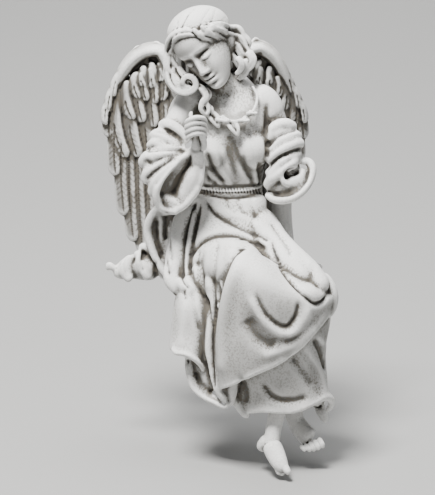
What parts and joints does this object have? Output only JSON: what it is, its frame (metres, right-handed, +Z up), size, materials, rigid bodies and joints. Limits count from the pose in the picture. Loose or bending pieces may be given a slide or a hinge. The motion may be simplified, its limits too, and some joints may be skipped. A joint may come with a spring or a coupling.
{
  "type": "angel figurine",
  "caption": "Seated winged angel figurine in cast stone that sits on the edge of a ledge with crossed legs hanging down.",
  "frame": {"origin": "middle of the flat underside of the seat, 40 mm behind the ledge's front edge", "axes": "+Z up, -Y forward over the ledge's front edge, +X to the figure's own left along the edge"},
  "size_m": [0.1985, 0.2105, 0.4074],
  "materials": {
    "cast_stone": "cast resin with a matt grey stone look and a brown wash in the hollows"
  },
  "bodies": {
    "root": {"angel_figurine": "cast_stone"}
  },
  "joints": []
}
